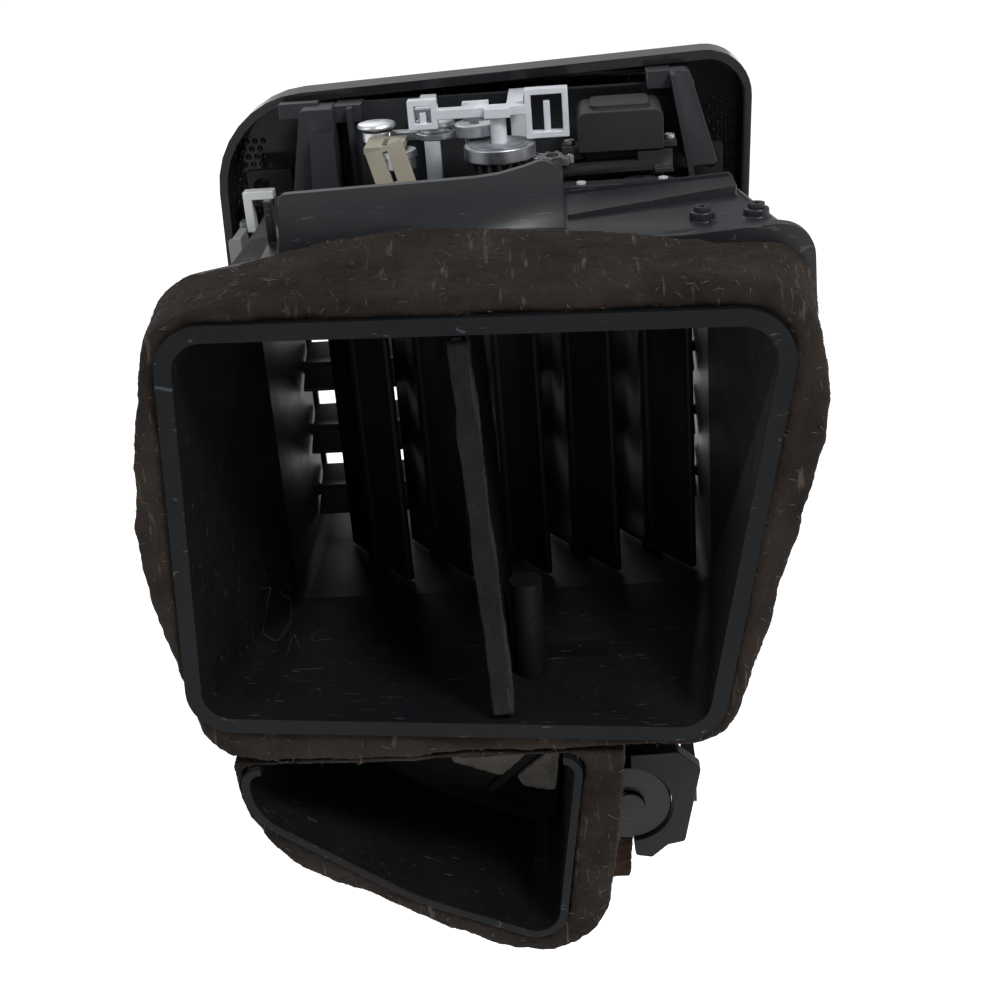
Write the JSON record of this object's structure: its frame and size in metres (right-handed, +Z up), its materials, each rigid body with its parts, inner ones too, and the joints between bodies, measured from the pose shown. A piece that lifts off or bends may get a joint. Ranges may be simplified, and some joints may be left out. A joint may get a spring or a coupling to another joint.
{
  "type": "automatic air outlet",
  "caption": "Dashboard air outlet with motor-driven vertical vanes, tilting fins, a foam-sealed flared duct and a small flapped lower duct.",
  "frame": {"origin": "middle of the four dash screws, in the plane of the bezel's rear rim; the middle of the vane box lies on the same axis", "axes": "-Y is the face that the driver sees, +Y is the duct side, +Z is up, +X is to the right when looking along +Y"},
  "size_m": [0.1555, 0.12, 0.2011],
  "materials": {
    "gloss_black": "piano-black gloss on the face, polished edges",
    "box_black": "fine-grained moulded black plastic",
    "frame_grey": "satin dark grey moulded plastic",
    "duct_black": "satin black polypropylene with scuffs",
    "vane_black": "satin black moulded plastic",
    "fin_black": "satin black moulded plastic",
    "felt": "grey felt strip",
    "foam": "brown-black open-cell foam with short fibres",
    "pale_foam": "pale foam facing",
    "brown_foam": "red-brown foam",
    "zinc_steel": "zinc-plated steel",
    "bright_steel": "bright metallised finish",
    "dark_steel": "dark passivated steel",
    "light_pom": "light grey acetal",
    "natural_pom": "natural acetal",
    "white_pom": "white acetal",
    "grey_pom": "grey acetal",
    "beige_plastic": "beige fibre-filled plastic",
    "motor_grey": "dark grey glass-filled plastic"
  },
  "bodies": {
    "housing": {"bezel": "gloss_black", "vane_box": "box_black", "mechanism_frame": "frame_grey", "duct_shroud": "duct_black", "rear_duct": "duct_black", "centre_partition": "duct_black", "partition_edge_strip": "felt", "lower_duct": "duct_black", "main_foam_gasket": "foam", "lower_foam_gasket": "foam", "box_screws": "frame_grey", "fin_bearing_left": "frame_grey", "fin_bearing_right": "frame_grey", "gear_bridge": "light_pom", "vane_motor": "motor_grey", "motor_connector": "box_black", "motor_screws": "zinc_steel", "flap_gearbox": "motor_grey", "flap_motor_can": "dark_steel", "flap_motor_bracket": "box_black", "flap_connector": "box_black", "gearbox_screws": "zinc_steel", "foam_pad": "brown_foam"},
    "vane_1": {"vane_1": "vane_black", "vane_crank_1": "white_pom"},
    "vane_2": {"vane_2": "vane_black", "vane_crank_2": "white_pom"},
    "vane_3": {"vane_3": "vane_black", "vane_crank_3": "white_pom"},
    "vane_4": {"vane_4": "vane_black", "vane_crank_4": "white_pom", "upper_crank": "frame_grey"},
    "vane_5": {"vane_5": "vane_black", "vane_crank_5": "white_pom"},
    "fin_1": {"fin_1": "fin_black"},
    "fin_2": {"fin_2": "fin_black"},
    "fin_3": {"fin_3": "fin_black"},
    "fin_4": {"fin_4": "fin_black"},
    "fin_5": {"fin_5": "fin_black"},
    "vane_link": {"vane_link": "frame_grey"},
    "drive_wheel": {"drive_wheel": "motor_grey", "wheel_disc": "bright_steel"},
    "motor_pinion": {"motor_pinion": "zinc_steel"},
    "drive_link": {"drive_link": "bright_steel", "link_pin_head": "bright_steel", "slotted_tongue": "beige_plastic"},
    "fin_link": {"fin_link": "grey_pom", "fin_link_hook": "white_pom"},
    "thumb_slider": {"thumb_slider": "gloss_black", "slider_fork": "white_pom"},
    "flap": {"flap": "box_black", "flap_foam": "pale_foam", "flap_coupling": "natural_pom"}
  },
  "joints": [
    {"name": "vane_turn", "type": "hinge", "parent": "housing", "child": "vane_3", "pos_m": [-0.002, 0.026, 0], "axis": [0, 0, 1], "range_deg": [-72, 2]},
    {"name": "vane_1_turn", "type": "hinge", "parent": "housing", "child": "vane_1", "pos_m": [-0.0405, 0.026, 0], "axis": [0, 0, 1], "range_deg": [-72, 2]},
    {"name": "vane_2_turn", "type": "hinge", "parent": "housing", "child": "vane_2", "pos_m": [-0.0205, 0.026, 0], "axis": [0, 0, 1], "range_deg": [-72, 2]},
    {"name": "vane_4_turn", "type": "hinge", "parent": "housing", "child": "vane_4", "pos_m": [0.0185, 0.026, 0], "axis": [0, 0, 1], "range_deg": [-72, 2]},
    {"name": "vane_5_turn", "type": "hinge", "parent": "housing", "child": "vane_5", "pos_m": [0.0355, 0.026, 0], "axis": [0, 0, 1], "range_deg": [-72, 2]},
    {"name": "vane_link_pivot", "type": "hinge", "parent": "vane_3", "child": "vane_link", "pos_m": [-0.00729, 0.03328, 0.055], "axis": [0, 0, 1], "range_deg": [-2, 72]},
    {"name": "drive_wheel_turn", "type": "hinge", "parent": "housing", "child": "drive_wheel", "pos_m": [-0.0062, 0.026, 0.062], "axis": [0, 0, 1], "range_deg": [-72, 2]},
    {"name": "motor_pinion_turn", "type": "hinge", "parent": "housing", "child": "motor_pinion", "pos_m": [-0.019, 0.026, 0.062], "axis": [0, 0, 1], "range_deg": [-4, 120]},
    {"name": "drive_link_pivot", "type": "hinge", "parent": "vane_4", "child": "drive_link", "pos_m": [0.02497, 0.0171, 0.068], "axis": [0, 0, 1], "range_deg": [-2, 72]},
    {"name": "fin_tilt", "type": "hinge", "parent": "housing", "child": "fin_3", "pos_m": [0, -0.001, 0], "axis": [1, 0, 0], "range_deg": [-1, 57]},
    {"name": "fin_1_tilt", "type": "hinge", "parent": "housing", "child": "fin_1", "pos_m": [0, -0.001, -0.038], "axis": [1, 0, 0], "range_deg": [-1, 57]},
    {"name": "fin_2_tilt", "type": "hinge", "parent": "housing", "child": "fin_2", "pos_m": [0, -0.001, -0.019], "axis": [1, 0, 0], "range_deg": [-1, 57]},
    {"name": "fin_4_tilt", "type": "hinge", "parent": "housing", "child": "fin_4", "pos_m": [0, -0.001, 0.019], "axis": [1, 0, 0], "range_deg": [-1, 57]},
    {"name": "fin_5_tilt", "type": "hinge", "parent": "housing", "child": "fin_5", "pos_m": [0, -0.001, 0.038], "axis": [1, 0, 0], "range_deg": [-1, 57]},
    {"name": "fin_link_pivot", "type": "hinge", "parent": "fin_3", "child": "fin_link", "pos_m": [0.064, 0.00695, -0.00422], "axis": [1, 0, 0], "range_deg": [-57, 1]},
    {"name": "slider_slide", "type": "slide", "parent": "fin_3", "child": "thumb_slider", "axis": [1, 0, 0], "range_m": [-0.0145, 0.0005]},
    {"name": "flap_swing", "type": "hinge", "parent": "housing", "child": "flap", "pos_m": [0, 0.062, -0.072], "axis": [1, 0, 0], "range_deg": [0, 85]}
  ],
  "couplings": [
    {"joint": "vane_1_turn", "follows": "vane_turn", "ratio": 1},
    {"joint": "vane_2_turn", "follows": "vane_turn", "ratio": 1},
    {"joint": "vane_4_turn", "follows": "vane_turn", "ratio": 1},
    {"joint": "vane_5_turn", "follows": "vane_turn", "ratio": 1},
    {"joint": "vane_link_pivot", "follows": "vane_turn", "ratio": -1},
    {"joint": "drive_wheel_turn", "follows": "vane_turn", "ratio": 1},
    {"joint": "motor_pinion_turn", "follows": "vane_turn", "ratio": -1.6667},
    {"joint": "drive_link_pivot", "follows": "vane_turn", "ratio": -1},
    {"joint": "fin_1_tilt", "follows": "fin_tilt", "ratio": 1},
    {"joint": "fin_2_tilt", "follows": "fin_tilt", "ratio": 1},
    {"joint": "fin_4_tilt", "follows": "fin_tilt", "ratio": 1},
    {"joint": "fin_5_tilt", "follows": "fin_tilt", "ratio": 1},
    {"joint": "fin_link_pivot", "follows": "fin_tilt", "ratio": -1},
    {"joint": "slider_slide", "follows": "vane_turn", "m_per_rad": 0.0115}
  ]
}
